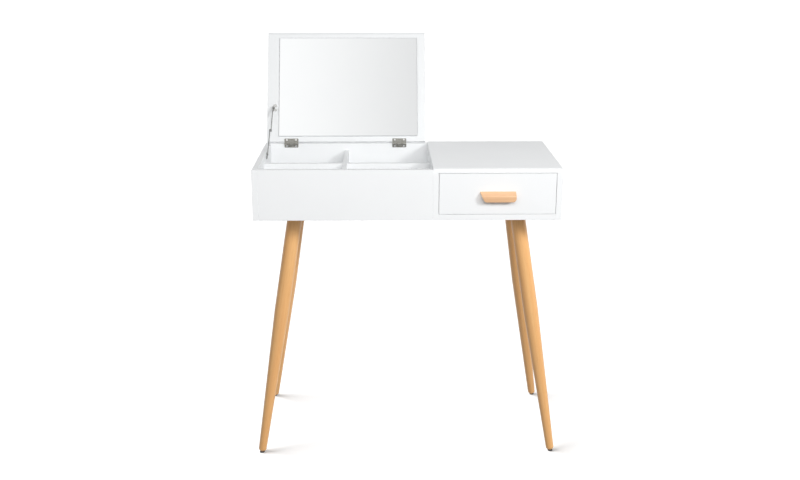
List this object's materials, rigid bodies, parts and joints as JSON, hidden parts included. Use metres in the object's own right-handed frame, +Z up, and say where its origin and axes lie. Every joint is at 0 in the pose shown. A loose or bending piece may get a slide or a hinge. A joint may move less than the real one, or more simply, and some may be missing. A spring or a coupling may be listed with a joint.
{
  "type": "flip top vanity table",
  "caption": "Vanity table with a flip-up mirror lid over a divided compartment, a drawer under a fixed top, and splayed round legs that taper to dark pads.",
  "frame": {"origin": "on the floor, at the middle of the outer box in width and depth, with the lid open at rest", "axes": "+X to the right of a person facing the front, +Y to the back, +Z up; the front faces -Y"},
  "size_m": [0.8136, 0.4906, 1.1007],
  "materials": {
    "white_board": "satin white laminate",
    "leg_wood": "clear satin lacquer",
    "pull_wood": "clear satin lacquer",
    "dowel_wood": "bare wood",
    "dark_pad": "matte",
    "nickel": "satin nickel",
    "zinc": "bright zinc",
    "roller_plastic": "smooth",
    "mirror_glass": "polished"
  },
  "bodies": {
    "table": {"left_side": "white_board", "right_side": "white_board", "partition": "white_board", "left_bottom": "white_board", "right_bottom": "white_board", "back_panel": "white_board", "left_front_panel": "white_board", "fixed_top": "white_board", "main_divider": "white_board", "cross_divider": "white_board", "box_dowels": "dowel_wood", "runner_left": "zinc", "runner_right": "zinc", "runner_rollers": "roller_plastic", "runner_screws": "zinc", "leg_front_left": "leg_wood", "leg_front_right": "leg_wood", "leg_rear_left": "leg_wood", "leg_rear_right": "leg_wood", "pad_front_left": "dark_pad", "pad_front_right": "dark_pad", "pad_rear_left": "dark_pad", "pad_rear_right": "dark_pad", "leg_bolts": "zinc", "hinge_wall_leaf_left": "nickel", "hinge_wall_leaf_right": "nickel", "hinge_pins": "nickel", "hinge_wall_screws": "nickel", "stay_wall_bracket": "nickel", "stay_wall_pin": "nickel", "stay_wall_screws": "nickel"},
    "lid": {"lid_panel": "white_board", "mirror": "mirror_glass", "hinge_lid_leaf_left": "nickel", "hinge_lid_leaf_right": "nickel", "hinge_lid_screws": "nickel", "stay_lid_bracket": "nickel", "stay_lid_pin": "nickel", "stay_lid_screws": "nickel"},
    "lower_link": {"stay_lower_link": "nickel", "stay_knee_rivet": "nickel"},
    "upper_link": {"stay_upper_link": "nickel", "stay_knee_cap": "nickel"},
    "drawer": {"drawer_front": "white_board", "drawer_left_side": "white_board", "drawer_right_side": "white_board", "drawer_back": "white_board", "drawer_bottom": "white_board", "drawer_dowels": "dowel_wood", "pull": "pull_wood", "pull_screws": "zinc", "slide_left": "zinc", "slide_right": "zinc", "slide_rollers": "roller_plastic"}
  },
  "joints": [
    {"name": "lid_hinge", "type": "hinge", "parent": "table", "child": "lid", "pos_m": [-0.17, 0.1052, 0.796], "axis": [1, 0, 0], "range_deg": [0, 112.7]},
    {"name": "lower_link_pivot", "type": "hinge", "parent": "table", "child": "lower_link", "pos_m": [-0.382, -0.00196, 0.79051], "axis": [1, 0, 0], "range_deg": [-42, 0.2]},
    {"name": "upper_link_pivot", "type": "hinge", "parent": "lid", "child": "upper_link", "pos_m": [-0.379, 0.1428, 0.89626], "axis": [1, 0, 0], "range_deg": [-0.2, 25]},
    {"name": "drawer_slide", "type": "slide", "parent": "table", "child": "drawer", "axis": [0, -1, 0], "range_m": [0, 0.24]}
  ],
  "couplings": [
    {"joint": "lower_link_pivot", "follows": "lid_hinge", "ratio": -0.36973},
    {"joint": "upper_link_pivot", "follows": "lid_hinge", "ratio": 0.21892}
  ]
}
